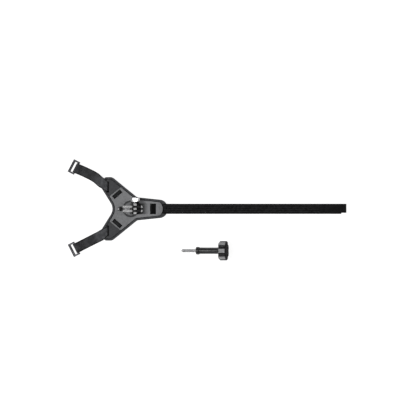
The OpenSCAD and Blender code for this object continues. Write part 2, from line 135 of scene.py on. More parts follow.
def moulded(name, colour, rough, grain=0.35, depth=0.02, variation=0.18, wear=0.25, specular=0.5):
    """Moulded plastic or rubber: fine spark-eroded grain, slow tone changes and paler worn edges."""
    material, tree, shader = new_material(name, **{"Specular IOR Level": specular})
    place = add(tree, "TexCoord").outputs["Object"]
    slow = noise(tree, place, 45, 4)
    mottle = noise(tree, place, 420, 4, 0.7)
    fine = noise(tree, place, 1000 / grain, 2)
    edge = mapped(tree, add(tree, "NewGeometry").outputs["Pointiness"], 0, 1, 0.52, 0.62)
    tone = mixed(tree, (slow, 0.3), (mottle, 0.45), (fine, 0.25))
    low = [c * (1 - variation) for c in colour]
    high = [c * (1 + variation) for c in colour]
    body = ramp(tree, tone, [(0.38, low), (0.62, high)])
    worn = [min(1, c * 1.5 + 0.02) for c in colour]
    mix = add(tree, "Mix", {0: maths(tree, "MULTIPLY", edge, wear), 6: body, 7: (*worn, 1)},
              data_type="RGBA")
    tree.links.new(mix.outputs[2], shader.inputs["Base Color"])
    tree.links.new(mapped(tree, tone, rough - 0.07, rough + 0.07, 0.3, 0.7),
                   shader.inputs["Roughness"])
    bump(tree, shader, fine, depth * MM)
    return material


def brushed(name, colour, rough, direction, scratch=0.012, rim=0.6):
    """Metal with fine scratches along one direction; rim is how bright it turns when seen edge-on."""
    material, tree, shader = new_material(name, **{"Metallic": 1.0,
                                                   "Specular Tint": (rim, rim, rim, 1)})
    place = add(tree, "TexCoord").outputs["Object"]
    stretch = [6.0 if axis == direction else 0.25 for axis in range(3)]
    lines = add(tree, "Mapping", {"Vector": place, "Scale": stretch})
    streak = noise(tree, lines.outputs[0], 900, 3)
    slow = noise(tree, place, 180, 3)
    tone = mixed(tree, (streak, 0.5), (slow, 0.5))
    tree.links.new(ramp(tree, tone, [(0.3, [c * 0.85 for c in colour]), (0.7, colour)]),
                   shader.inputs["Base Color"])
    tree.links.new(mapped(tree, tone, rough * 0.6, rough * 1.5, 0.3, 0.7), shader.inputs["Roughness"])
    bump(tree, shader, streak, scratch * MM)
    return material


def selvage(tree, across, depth=0.3):
    """A factor that darkens both edges of a strap."""
    share = mapped(tree, across, 0, 1, 0, STRAP_W * MM)
    return ramp(tree, share, [(0, depth), (0.07, depth), (0.12, 1), (0.88, 1), (0.93, depth),
                              (1, depth)])


def painted_shade_at_start(tree, along, length, reach=36.0):
    """A factor with painted shade over a strap's first length, down inside the pad; past it the strap
    is lighter, then darker again along its length.
    """
    share = mapped(tree, along, 0, 1, length * MM, (length + reach) * MM)
    return ramp(tree, share, [(0, 0.3), (0.04, 1.3), (0.4, 1.3), (0.7, 0.65), (1, 0.8)])


def times(tree, first, second):
    node = add(tree, "Mix", {0: 1.0, 6: first, 7: second}, data_type="RGBA", blend_type="MULTIPLY")
    return node.outputs[2]


def woven(name, colour, pitch, step, contrast=0.45, depth=0.12, loop=0):
    """Webbing: yarns pitch mm apart across, crossing every step mm, drawn along the strap's UV."""
    rough = 0.75
    fuzz = 0.25
    material, tree, shader = new_material(
        name, **{"Sheen Weight": 0.15, "Sheen Roughness": 0.45, "Specular IOR Level": 0.15})
    coords = add(tree, "TexCoord")
    split = add(tree, "SeparateXYZ", {0: coords.outputs["UV"]})
    across = maths(tree, "SINE", maths(tree, "MULTIPLY", split.outputs[0], 2 * math.pi / (pitch * MM)))
    along = maths(tree, "SINE", maths(tree, "MULTIPLY", split.outputs[1], 2 * math.pi / (step * MM)))
    cross = maths(tree, "MULTIPLY", across, along)
    place = coords.outputs["Object"]
    hairs = noise(tree, place, 5200, 3)
    slow = noise(tree, place, 170, 4)
    weave = mapped(tree, cross, 0, 1, -1, 1)
    height = maths(tree, "ADD", weave, maths(tree, "MULTIPLY", hairs, fuzz))
    dark = [c * (1 - contrast) for c in colour]
    pale = [c * (1 + contrast) for c in colour]
    yarn = ramp(tree, mapped(tree, height, 0, 1, 0, 1 + fuzz), [(0.1, dark), (0.85, pale)])
    shade = ramp(tree, slow, [(0.42, 0.78), (0.58, 1.2)])
    tint = times(tree, times(tree, yarn, shade), selvage(tree, split.outputs[0]))
    # Painted shade over the webbing's first loop mm, down inside the pad.
    if loop:
        tint = times(tree, tint, painted_shade_at_start(tree, split.outputs[1], loop))
    tree.links.new(tint, shader.inputs["Base Color"])
    tree.links.new(mapped(tree, hairs, rough - 0.08, rough + 0.1), shader.inputs["Roughness"])
    bump(tree, shader, height, depth * MM)
    return material


def napped(name, colour, rib=3.0, depth=0.3, loop=0):
    """Hook-and-loop face: a mat of tiny loops in faint rows, with painted shade over its first loop
    mm.
    """
    material, tree, shader = new_material(
        name, **{"Sheen Weight": 0.1, "Sheen Roughness": 0.6, "Specular IOR Level": 0.12})
    coords = add(tree, "TexCoord")
    split = add(tree, "SeparateXYZ", {0: coords.outputs["UV"]})
    rows = maths(tree, "SINE", maths(tree, "MULTIPLY", split.outputs[0], 2 * math.pi / (rib * MM)))
    place = coords.outputs["Object"]
    loops = add(tree, "TexVoronoi", {"Vector": place, "Scale": 2200.0}).outputs["Distance"]
    patches = noise(tree, place, 300, 4, 0.75)
    height = mixed(tree, (loops, 0.8), (mapped(tree, rows, 0, 0.35, -1, 1), 1.0))
    tone = mixed(tree, (height, 0.45), (patches, 0.8))
    dark = [c * 0.25 for c in colour]
    pale = [c * 2.6 for c in colour]
    body = ramp(tree, tone, [(0.58, dark), (0.76, pale)])
    tint = times(tree, body, selvage(tree, split.outputs[0], 0.35))
    # Painted shade over the strap's first loop mm, down inside the pad.
    if loop:
        inside_pad_shade = mapped(tree, split.outputs[1], 0, 1, loop * MM, (loop + 1.5) * MM)
        tint = times(tree, tint, ramp(tree, inside_pad_shade, [(0, 0.1), (1, 1.0)]))
    tree.links.new(tint, shader.inputs["Base Color"])
    tree.links.new(mapped(tree, patches, 0.8, 0.95), shader.inputs["Roughness"])
    bump(tree, shader, height, depth * MM)
    return material


def body_colour(material):
    """A material's shader and the socket that now feeds its base colour."""
    shader = next(n for n in material.node_tree.nodes if n.type == "BSDF_PRINCIPLED")
    return shader, shader.inputs["Base Color"].links[0].from_socket


def plate_with_fork_shadow(name, colour, rough):
    """Plate plastic with a painted shadow of the fork over its recess on the long lobe, darkest next
    to the fork.
    """
    material = moulded(name, colour, rough, grain=0.3, depth=0.03, variation=0.3, specular=0.25)
    tree = material.node_tree
    shader, body = body_colour(material)
    split = add(tree, "SeparateXYZ", {0: add(tree, "TexCoord").outputs["Object"]})
    # Painted shadow of the fork: within about 8 mm either side of the middle, darkest from x 11 mm,
    # lightening towards x 26 mm.
    along = mapped(tree, split.outputs[0], 0, 1, 8 * MM, 28 * MM)
    painted_fork_shadow = ramp(tree, along, [(0.1, 1.0), (0.16, 0.16), (0.4, 0.24), (0.6, 0.55), (0.9, 0.93)])
    aside = mapped(tree, maths(tree, "ABSOLUTE", split.outputs[1]), 0, 1, 7.6 * MM, 8.2 * MM)
    tint = add(tree, "Mix", {0: aside, 6: times(tree, body, painted_fork_shadow), 7: body}, data_type="RGBA")
    tree.links.new(tint.outputs[2], shader.inputs["Base Color"])
    return material


def saddle_shaded(name, colour, gloss=0.62, matt=0.03):
    """Glossy fork plastic whose reflection is switched off in the saddle between and behind the
    fingers: painted shade where the gaps fall dark.
    """
    material = moulded(name, colour, 0.19, grain=0.25, depth=0.008, variation=0.3, wear=0.2)
    tree = material.node_tree
    shader, _ = body_colour(material)
    split = add(tree, "SeparateXYZ", {0: add(tree, "TexCoord").outputs["Object"]})
    along = mapped(tree, split.outputs[0], 0, 1, 0, 20 * MM)
    # Painted shade: no reflection below about 13 mm height from x 2.6 to 15.2 mm, and above that
    # height beyond x 9.8 mm.
    low = ramp(tree, along, [(0.11, gloss), (0.13, matt), (0.76, matt), (0.78, gloss)])
    high = ramp(tree, along, [(0.46, gloss), (0.49, matt)])
    height = mapped(tree, split.outputs[2], 0, 1, 12.6 * MM, 13.4 * MM)
    spec_with_painted_shade = add(tree, "Mix", {0: height, 6: low, 7: high}, data_type="RGBA")
    tree.links.new(spec_with_painted_shade.outputs[2], shader.inputs["Specular IOR Level"])
    return material


def rim_shaded(name, colour, rough, edge):
    """Moulded disc about the turntable's axis whose sloping rim, past edge mm, carries painted shade.
    """
    material = moulded(name, colour, rough, grain=0.3)
    tree = material.node_tree
    shader, body = body_colour(material)
    flat = add(tree, "VectorMath", {0: add(tree, "TexCoord").outputs["Object"], 1: (1, 1, 0)},
               operation="MULTIPLY").outputs[0]
    reach = add(tree, "VectorMath", {0: flat}, operation="LENGTH").outputs["Value"]
    # Painted shade on the sloping rim.
    painted_rim_shade = mapped(tree, reach, 0, 1, (edge - 0.2) * MM, (edge + 0.2) * MM)
    tree.links.new(times(tree, body, ramp(tree, painted_rim_shade, [(0, 1.0), (1, 0.3)])),
                   shader.inputs["Base Color"])
    return material


def crest_highlighted(name, colour, highlight_colour):
    """Knob plastic, paler along the lobe crests that its vertex layer marks: a painted highlight,
    broken up by noise.
    """
    material = moulded(name, colour, 0.36, grain=0.3, depth=0.02, specular=0.22)
    tree = material.node_tree
    shader, body = body_colour(material)
    crest_highlight = add(tree, "Attribute", attribute_name="crest_highlight").outputs["Fac"]
    place = add(tree, "TexCoord").outputs["Object"]
    highlight_share = maths(tree, "MULTIPLY", crest_highlight, mapped(tree, noise(tree, place, 900, 3), 0.5, 1.2))
    mix = add(tree, "Mix", {0: highlight_share, 6: body, 7: (*highlight_colour, 1)}, data_type="RGBA")
    tree.links.new(mix.outputs[2], shader.inputs["Base Color"])
    return material


MATERIAL = {
    "plate": plate_with_fork_shadow("plate_plastic", (0.268, 0.271, 0.279), 0.55),
    "table": rim_shaded("turntable_plastic", (0.2, 0.203, 0.211), 0.42, 9.6),
    "pad": moulded("pad_rubber", (0.082, 0.083, 0.088), 0.6, grain=0.6, depth=0.05, wear=0.35,
                   variation=0.25, specular=0.2),
    "cover": moulded("cover_rubber", (0.075, 0.076, 0.08), 0.65, grain=0.7, depth=0.06,
                     variation=0.25, specular=0.2),
    "liner": moulded("liner_rubber", (0.03, 0.03, 0.032), 0.75, grain=1.1, depth=0.1),
    "fork": saddle_shaded("fork_plastic", (0.008, 0.008, 0.009)),
    "black": moulded("black_plastic", (0.012, 0.012, 0.013), 0.38, grain=0.25, depth=0.008,
                     variation=0.3, wear=0.2, specular=0.7),
    "matt": moulded("matt_plastic", (0.012, 0.012, 0.013), 0.8, depth=0.04, specular=0.04),
    "nylon": moulded("nylon", (0.012, 0.012, 0.013), 0.6, specular=0.12),
    "buckle": brushed("buckle_metal", (0.06, 0.06, 0.065), 0.42, 0, scratch=0.002, rim=0.2),
    "steel": brushed("steel", (0.76, 0.76, 0.77), 0.5, 0, rim=0.03),
    # The knob's pale crest colour is a painted highlight on its lobe crests.
    "crest_highlight": crest_highlighted("knob_plastic", (0.011, 0.011, 0.012), (0.46, 0.464, 0.472)),
    "nut": brushed("nut_metal", (0.74, 0.74, 0.75), 0.24, 1, scratch=0.004),
    "pip": moulded("pip_plastic", (0.62, 0.62, 0.63), 0.3, variation=0.08),
    "web": woven("arm_webbing", (0.074, 0.075, 0.08), 1.25, 1.6, loop=29),
    "thread": woven("sewing_thread", (0.05, 0.05, 0.054), 0.4, 0.3, contrast=0.3, depth=0.03),
    "strap": napped("loop_fabric", (0.0105, 0.0105, 0.0113)),
    # The strap root's first 20 mm carry painted shade, down inside the pad.
    "root": napped("root_fabric_with_painted_shade", (0.0105, 0.0105, 0.0113), loop=20),
    "hook": woven("hook_fabric", (0.011, 0.011, 0.012), 0.9, 0.9, contrast=0.7, depth=0.2),
}


# ---- meshes ----
def new_object(name, points, faces, material, body, sharp=35):
    """A mesh from points in millimetres, smooth but for edges sharper than sharp degrees."""
    mesh = bpy.data.meshes.new(name)
    mesh.from_pydata([Vector(p) * MM for p in points], [], faces)
    return dressed(bpy.data.objects.new(name, mesh), material, body, sharp)


def dressed(piece, material, body, sharp=35):
    """Links a new piece to the scene with tidy normals, its material and its body."""
    bpy.context.scene.collection.objects.link(piece)
    mesh = piece.data
    bm = bmesh.new()
    bm.from_mesh(mesh)
    bmesh.ops.recalc_face_normals(bm, faces=bm.faces)
    limit = math.radians(sharp)
    for face in bm.faces:
        face.smooth = True
    for edge in bm.edges:
        edge.smooth = len(edge.link_faces) != 2 or edge.calc_face_angle(0.0) < limit
    bm.to_mesh(mesh)
    bm.free()
    mesh.materials.clear()
    mesh.materials.append(material)
    if body:
        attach(piece, body)
    return piece


def refined(node, material, bevel=0.3, segments=3, sharp=40):
    """A CAD node's own shape with welded corners and rounded edges, shown in place of the node, which
    it hides.
    """
    bm = bmesh.new()
    bm.from_mesh(frame["nodes"][node].data)
    bmesh.ops.remove_doubles(bm, verts=bm.verts, dist=3e-6)
    bmesh.ops.dissolve_limit(bm, angle_limit=math.radians(0.5), verts=bm.verts, edges=bm.edges,
                             delimit={"NORMAL"})
    mesh = bpy.data.meshes.new(node + "_moulding")
    bm.to_mesh(mesh)
    bm.free()
    piece = bpy.data.objects.new(mesh.name, mesh)
    dressed(piece, material, BODY[node], sharp)
    if bevel:
        rounding = piece.modifiers.new("rounded_edges", "BEVEL")
        rounding.width = bevel * MM
        rounding.segments = segments
        rounding.limit_method = "ANGLE"
        rounding.angle_limit = math.radians(38)
        rounding.harden_normals = True
    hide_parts(node)
    return piece


def rings_mesh(rings):
    """Points and faces of a closed skin through rings of equal length."""
    n = len(rings[0])
    points = [p for ring in rings for p in ring]
    faces = [(n * i + k, n * i + (k + 1) % n, n * (i + 1) + (k + 1) % n, n * (i + 1) + k)
             for i in range(len(rings) - 1) for k in range(n)]
    faces += [tuple(reversed(range(n))), tuple(n * (len(rings) - 1) + k for k in range(n))]
    return points, faces


def turned(profile, sides, wave):
    """Rings about the X axis through (distance along, radius) points, whose radius wave changes."""
    rings = []
    for s, r in profile:
        ring = []
        for k in range(sides):
            angle = 2 * math.pi * k / sides
            reach = wave(s, r, angle)
            ring.append((s, reach * math.cos(angle), reach * math.sin(angle)))
        rings.append(ring)
    return rings


# ---- outline of the pad, as the CAD draws it ----
HALF_OUTLINE = [(54, 12.4, 12), (9.4, 17, 5), (-27.2, 46.8, 9), (-38.2, 46.6, 4), (-44.4, 32.6, 3)]
NECK = (-24.1, 0, 16)
OUTLINE = HALF_OUTLINE + [NECK] + [(x, -y, r) for x, y, r in reversed(HALF_OUTLINE)]
ARC_STEPS = 10


def left_of(v):
    return Vector((-v.y, v.x))


def cross2(a, b):
    return a.x * b.y - a.y * b.x


def corner_arc(before, c, after, r):
    a, b = (c - before).normalized(), (after - c).normalized()
    side = math.copysign(1, cross2(a, b))
    turn = math.acos(max(-1, min(1, a.dot(b))))
    start = c - a * (r * math.tan(turn / 2))
    centre = start + left_of(a) * (side * r)
    arm = start - centre
    return [centre + Matrix.Rotation(side * turn * i / ARC_STEPS, 2) @ arm
            for i in range(ARC_STEPS + 1)]


def outline(inset):
    """The pad's outline moved inwards by inset, always with the same number of points."""
    n = len(OUTLINE)
    moved = []
    for i in range(n):
        c, before, after = (Vector(OUTLINE[j][:2]) for j in (i, (i - 1) % n, (i + 1) % n))
        a, b = (c - before).normalized(), (after - c).normalized()
        na, nb = left_of(a), left_of(b)
        point = c + (na + nb) * (inset / (1 + na.dot(nb)))
        moved.append((point, max(OUTLINE[i][2] - math.copysign(inset, cross2(a, b)), 0.3)))
    points = []
    for i in range(n):
        points += corner_arc(moved[i - 1][0], moved[i][0], moved[(i + 1) % n][0], moved[i][1])
    return points


def divided(points, longest=6.0):
    """The same closed outline with its long straight edges cut into shorter ones."""
    result = []
    reference = outline(0)
    for i, p in enumerate(points):
        q = points[(i + 1) % len(points)]
        length = (reference[(i + 1) % len(points)] - reference[i]).length
        cuts = max(1, round(length / longest))
        result += [p.lerp(q, k / cuts) for k in range(cuts)]
    return result


def outline_skin(profile):
    """A skin round the pad through (inset, height) points."""
    return rings_mesh([[(p.x, p.y, z) for p in divided(outline(inset))] for inset, z in profile])


# ---- straps ----
def catmull(p0, p1, p2, p3, t):
    return 0.5 * ((2 * p1) + (p2 - p0) * t + (2 * p0 - 5 * p1 + 4 * p2 - p3) * t * t
                  + (3 * p1 - p0 - 3 * p2 + p3) * t * t * t)


class Ribbon:
    """A flat strap whose middle layer runs through stations (x, y, z, width angle, half width)."""

    def __init__(self, stations, thickness, spacing=0.9):
        self.thickness = thickness
        ends = [stations[0]] + list(stations) + [stations[-1]]
        self.rows = []
        for i in range(len(stations) - 1):
            four = ends[i:i + 4]
            length = (Vector(four[2][:3]) - Vector(four[1][:3])).length
            count = max(2, round(length / spacing))
            for k in range(count):
                self.rows.append([catmull(*(s[j] for s in four), k / count) for j in range(5)])
        self.rows.append(list(stations[-1]))
        self.frames, self.along = [], [0.0]
        for i, row in enumerate(self.rows):
            here = Vector(row[:3])
            before = Vector(self.rows[max(i - 1, 0)][:3])
            after = Vector(self.rows[min(i + 1, len(self.rows) - 1)][:3])
            tangent = (after - before).normalized()
            angle = math.radians(row[3])
            width = Vector((math.cos(angle), math.sin(angle), 0))
            normal = tangent.cross(width).normalized()
            self.frames.append((here, width * row[4], normal))
            if i:
                self.along.append(self.along[-1] + (here - before).length)
        middle = self.frames[len(self.frames) // 2][2]
        self.up = 1 if middle.z > 0 else -1
        self.length = self.along[-1]

    def at(self, s, a, b):
        """The point s mm along, a from -1 to 1 across, b mm above the middle layer."""
        i = 1
        while i < len(self.along) - 1 and self.along[i] < s:
            i += 1
        span = self.along[i] - self.along[i - 1]
        t = max(0.0, min(1.0, (s - self.along[i - 1]) / span))
        here, width, normal = (p.lerp(q, t) for p, q in zip(self.frames[i - 1], self.frames[i]))
        return here + width * a + normal.normalized() * (b * self.up)

    def mesh(self, name, section, material, body, slot):
        """Section is a closed loop of (across, height), height in half thicknesses."""
        half_t = self.thickness / 2
        rings = [[here + width * a + normal * (b * half_t * self.up) for a, b in section]
                 for here, width, normal in self.frames]
        points, faces = rings_mesh(rings)
        piece = new_object(name, points, faces, material, body)
        uv = piece.data.uv_layers.new(name="strap")
        n = len(section)
        full = 2 * self.rows[0][4]
        for loop in piece.data.loops:
            row, k = divmod(loop.vertex_index, n)
            uv.data[loop.index].uv = ((section[k][0] + 1) / 2 * full * MM, self.along[row] * MM)
        return piece


def strap_section(ribs, relief, edge=0.06):
    """A flat cross-section with ribs ribs on both faces and rounded selvages."""
    steps = ribs * 4
    across = [-1 + edge + (2 - 2 * edge) * k / steps for k in range(steps + 1)]
    heights = [1 - relief * (0.5 + 0.5 * math.cos(2 * math.pi * ribs * k / steps))
               for k in range(steps + 1)]
    top = list(zip(across, heights))
    bottom = [(a, -h) for a, h in reversed(top)]
    right = [(1 - edge * 0.3, 0.6), (1, 0), (1 - edge * 0.3, -0.6)]
    left = [(-1 + edge * 0.3, -0.6), (-1, 0), (-1 + edge * 0.3, 0.6)]
    return top + right + bottom + left


def capsule(start, end, r, sides=8):
    """Rings of a thin round-ended stitch between two points."""
    axis = end - start
    along = axis.normalized()
    side = along.orthogonal().normalized()
    up = along.cross(side)
    rings = []
    for t, k in ((0, 0.05), (0.02, 0.6), (0.1, 0.95), (0.5, 1.0), (0.9, 0.95), (0.98, 0.6),
                 (1, 0.05)):
        centre = start + axis * t
        rings.append([centre + (side * math.cos(a) + up * math.sin(a)) * (r * k)
                      for a in (2 * math.pi * i / sides for i in range(sides))])
    return rings


def stitches(name, ribbon, lines, body, pitch=2.1, r=0.19):
    """Rows of stitches on a ribbon's upper face; a line is ((s, a), (s, a)) in mm and shares."""
    points, faces = [], []
    lift = ribbon.thickness / 2 + 0.02
    for (s0, a0), (s1, a1) in lines:
        first, last = ribbon.at(s0, a0, lift), ribbon.at(s1, a1, lift)
        count = max(1, round((last - first).length / pitch))
        for k in range(count):
            ends = []
            for share in ((k + 0.14) / count, (k + 0.86) / count):
                ends.append(ribbon.at(s0 + (s1 - s0) * share, a0 + (a1 - a0) * share, lift))
            new_points, new_faces = rings_mesh(capsule(*ends, r))
            faces += [tuple(i + len(points) for i in face) for face in new_faces]
            points += new_points
    return new_object(name, points, faces, MATERIAL["thread"], body, sharp=60)


def box_lines(s0, s1, edge):
    """The four sides of a box on a ribbon, from s0 to s1 along and edge to each side."""
    corners = [(s0, -edge), (s1, -edge), (s1, edge), (s0, edge)]
    return [(corners[i], corners[(i + 1) % 4]) for i in range(4)]


def crossed_box_lines(s0, s1, edge=0.82):
    """The same box with a cross in it."""
    sides = box_lines(s0, s1, edge)
    return sides + [(sides[0][0], sides[2][0]), (sides[1][0], sides[3][0])]


# ---- the mount's base ----
def make_pad():
    profile = [(5.4, 2.0), (5.2, 3.55), (3.95, 3.6), (3.75, 3.72), (3.5, 3.8), (3.25, 3.95),
               (3.05, 4.3), (2.95, 4.6), (2.7, 4.88), (2.3, 5.0), (1.9, 5.0), (1.55, 4.85),
               (1.4, 4.62), (1.25, 4.42), (1.05, 4.4), (0.85, 4.5), (0.6, 4.52), (0.3, 4.4),
               (0.08, 4.1), (0, 3.7), (0, 1.8), (0.1, 1.2), (0.4, 0.85), (0.9, 0.8)]
    points, faces = outline_skin(profile)
    piece = new_object("pad_moulding", points, faces, MATERIAL["pad"], "base")
    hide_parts("base_pad")


def make_liner():
    groove = 0.35
    profile = [(6, 0.8), (1.2, 0.8), (1.0, 0.65), (1.0, 0.15), (1.15, 0)]
    for start in (3.0, 5.0, 7.0, 9.0):
        profile += [(start, 0), (start + 0.15, groove), (start + 0.65, groove), (start + 0.8, 0)]
    points, faces = outline_skin(profile)
    piece = new_object("liner_moulding", points, faces, MATERIAL["liner"], "base")
    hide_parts("liner")


def make_base():
    make_pad()
    make_liner()
    refined("top_plate", MATERIAL["plate"], 0.35)
    for side in ("upper", "lower"):
        refined("lobe_cover_" + side, MATERIAL["cover"], 0.5)
    refined("friction_washer", MATERIAL["nylon"], 0.1)
    refined("plate_screws", MATERIAL["steel"], 0.15)


# ---- webbing arms ----
# An arm's bar is the buckle's inner one. Its angle is the way from there back to the hub, drift is
# how far the webbing has moved aside by the end of its sewn stretch, and run holds the stations
# (x, y, z, width angle) between the lobe and that stretch.
WINDOW = Vector((-19.8, 21.5))
WINDOW_ANGLE = 131
BAR_Z = 2.8
LOOP_R = 2.1
SEWN_TAIL = 14
UPPER = {"bar": (-80, 59.7), "angle": -27.5, "drift": 0.9,
         "run": [(-46.9, 41.8, 4.3, 62), (-50.3, 44.9, 2.9, 60), (-54.1, 47.4, 1.7, 61),
                 (-57.8, 49.5, 1.0, 62), (-62.6, 51.8, 0.75, 63)]}
LOWER = {"bar": (-79.9, -57.6), "angle": 27, "drift": 0.0,
         "run": [(-47, -41.0, 4.3, 116), (-50.5, -42.7, 2.9, 117), (-54.3, -44.6, 1.7, 117),
                 (-58, -46.5, 1.0, 117), (-62.8, -48.9, 0.75, 117)]}


def lobe_stations():
    """The webbing from its window to the hinge line, on the upper side."""
    out = Vector((math.cos(math.radians(WINDOW_ANGLE)), math.sin(math.radians(WINDOW_ANGLE))))
    across = WINDOW_ANGLE - 90
    rows = []
    for u, z in ((-4.6, 2.75), (-2.6, 2.8), (-1.75, 3.5), (-1.68, 4.9), (-1.25, 5.7), (-0.5, 5.9),
                 (0.5, 5.9), (1.25, 5.7), (1.68, 4.9), (1.75, 3.5), (2.6, 2.8), (5.0, 2.8)):
        p = WINDOW + out * u
        rows.append((p.x, p.y, z, across, 7.5))
    return rows + [(-28.0, 28.0, 2.8, 56, 7.4), (-31.6, 31.0, 2.9, 84, 7.3),
                   (-33.7, 32.1, 3.6, 90, 7.4), (-34.0, 32.4, 5.0, 90, 7.5),
                   (-34.7, 32.9, 6.4, 89, 7.5), (-36.3, 34.1, 6.95, 84, 7.5),
                   (-39.6, 36.5, 6.85, 74, 7.55), (-43.3, 38.9, 5.8, 66, 7.6)]


def arm_stations(arm, mirror):
    """A whole arm's stations: from its window, out past the lobe, round the bar and back under."""
    rows = lobe_stations()
    if mirror:
        rows = [(x, -y, z, 180 - a, h) for x, y, z, a, h in rows]
    rows += [(*r, 7.5) for r in arm["run"]]
    angle = math.radians(arm["angle"])
    to_hub = Vector((math.cos(angle), math.sin(angle)))
    bar = Vector(arm["bar"])
    sewn = [(15.5, 0.95), (13.6, 1.6), (11.5, 1.95), (8.5, 2.0), (6.0, 2.35), (4.0, 3.25), (2.4, 4.25)]
    start, stop, steps = 72, 270, 7
    for k in range(steps + 1):
        a = math.radians(start + k * (stop - start) / steps)
        sewn.append((LOOP_R * math.cos(a), BAR_Z + LOOP_R * math.sin(a)))
    sewn += [(3.0, 0.7), (7.0, 0.7), (11.0, 0.7), (13.8, 0.7)]
    for u, z in sewn:
        aside = arm["drift"] * max(0, min(1, (u - 2.4) / 11))
        p = bar + to_hub * u + left_of(to_hub) * aside
        rows.append((p.x, p.y, z, arm["angle"] + 90, 7.45))
    return rows


def make_arm(side, arm, mirror):
    body = "arm_" + side
    ribbon = Ribbon(arm_stations(arm, mirror), 1.15)
    section = strap_section(12, 0.14)
    piece = ribbon.mesh("webbing_" + side, section, MATERIAL["web"], None, SLOT["arm_strap_" + side])
    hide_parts(*(n + side for n in ("arm_anchor_", "arm_lap_", "arm_strap_", "arm_end_")))
    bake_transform(piece)
    loop = ribbon.length - SEWN_TAIL - LOOP_R * math.pi
    stitches("stitching_" + side, ribbon, crossed_box_lines(loop - 12.2, loop - 5.2), body)
    refined("buckle_" + side, MATERIAL["buckle"], 0.45, segments=4)


# ---- long strap ----
SEAM_X = 140.0
STRAP_Z = 0.85
STRAP_T = 1.5
STRAP_HALF_W = 7.45
STRAP_SECTION = strap_section(8, 0.12, edge=0.05)


def long_stations():
    """The strap from inside the pad, round its window's bar, off the lobe and down to the floor."""
    rows = [(x, 0, z, 90, STRAP_HALF_W) for x, z in
            ((28.6, 2.75), (29.6, 2.8), (30.75, 3.5), (30.9, 4.9), (31.4, 5.85), (32.3, 6.07),
             (33.3, 6.07), (34.2, 5.85), (34.7, 4.9), (34.85, 3.5), (36.0, 2.8), (39, 2.75),
             (45.5, 2.75), (47.2, 3.0), (48.7, 4.0), (50.1, 5.25), (51.6, 5.88), (53.4, 5.98),
             (55.2, 5.95), (58.5, 5.5), (62.5, 4.3), (66.5, 2.8), (70.5, 1.6), (74.5, 1.02),
             (79, 0.86))]
    rows += [(x, 0, STRAP_Z, 90, STRAP_HALF_W) for x in range(90, int(SEAM_X), 12)]
    return rows + [(SEAM_X, 0, STRAP_Z, 90, STRAP_HALF_W)]


def make_strap_near():
    near = Ribbon(long_stations(), STRAP_T, spacing=1.2)
    piece = near.mesh("long_strap_near", STRAP_SECTION, MATERIAL["root"], None, SLOT["strap_near"])
    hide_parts("strap_root", "strap_near")
    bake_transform(piece)


def make_strap_far(end, steps=14):
    rows = [(SEAM_X + (end - SEAM_X) * k / steps, 0, STRAP_Z, 90, STRAP_HALF_W)
            for k in range(steps + 1)]
    far = Ribbon(rows, STRAP_T, spacing=1.2)
    piece = far.mesh("long_strap_far", STRAP_SECTION, MATERIAL["strap"], None, SLOT["strap_far"])
    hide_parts("strap_far")
    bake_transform(piece)


def make_hook_patch(end, steps=6):
    """The hook-faced patch where the CAD has it, sewn on round its edge."""
    low, high = (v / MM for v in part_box("hook_tab"))
    middle = (low + high) / 2
    rows = [(low.x + (high.x - low.x) * k / steps, middle.y, middle.z, 90, (high.y - low.y) / 2)
            for k in range(steps + 1)]
    patch = Ribbon(rows, high.z - low.z - 0.1, spacing=1.5)
    piece = patch.mesh("hook_patch", strap_section(16, 0.2, edge=0.05), MATERIAL["hook"],
                       "strap_tip", SLOT["hook_tab"])
    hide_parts("hook_tab")
    lines = box_lines(1.4, end - low.x - 1.2, 0.86)
    stitches("hook_patch_stitching", patch, lines, "strap_tip")


def make_long_strap():
    make_strap_near()
    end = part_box("strap_far")[1].x / MM
    make_strap_far(end)
    make_hook_patch(end)


# ---- turntable, fork and lock ----
def make_swivel():
    refined("turntable", MATERIAL["table"], 0.25)
    refined("camera_fork", MATERIAL["fork"], 0.4, sharp=12)
    refined("fork_nut", MATERIAL["nut"], 0.5, segments=4)
    refined("swivel_ring", MATERIAL["steel"], 0.15)
    refined("swivel_screw", MATERIAL["steel"], 0.1)
    refined("fork_screws", MATERIAL["steel"], 0.1)
    refined("lock_slider", MATERIAL["nylon"], 0.25)
    refined("lock_pip", MATERIAL["pip"], 0.1)


# ---- locking screw ----
def laid_down(points, mount_at=12.45):
    """Points drawn along +X from the screw's tip, laid where the CAD's mount lays the screw."""
    mount = MOUNT["screw_stud_pin"]
    axis = -Vector(mount["axis"]).normalized()
    tip = Vector(mount["pos_m"]) / MM - axis * mount_at
    side = Vector((0, 1, 0))
    turn = Matrix((axis, side, axis.cross(side))).transposed()
    return [tip + turn @ Vector(p) for p in points]


def make_stud():
    """The steel stud with its rolled thread, cone point and plain shank."""
    r, depth, pitch = 2.5, 0.3, 0.8
    nose, nose_r, cone_end = 0.3, 0.95, 2.2
    first, last, end = 1.2, 21.3, 24.0
    fade = 1.2

    def thread(s, radius, angle):
        if s < first or s > last:
            return radius
        phase = (s / pitch - angle / (2 * math.pi)) % 1
        tooth = abs(2 * phase - 1)
        share = min(1, (s - first) / fade) * min(1, (last - s) / fade)
        return radius - depth * share * min(1, max(0, 1.25 * tooth - 0.1))

    profile = [(0, 0.02), (0.05, 0.5), (0.2, 0.9)]
    steps = 240
    for k in range(steps + 1):
        s = nose + (last - nose) * k / steps
        profile.append((s, min(r, nose_r + (s - nose) * (r - nose_r) / (cone_end - nose))))
    profile += [(last + 0.2, r), (end, r)]
    points, faces = rings_mesh(turned(profile, 56, thread))
    piece = new_object("threaded_stud", laid_down(points), faces, MATERIAL["steel"],
                       "locking_screw", sharp=50)
    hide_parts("screw_stud")


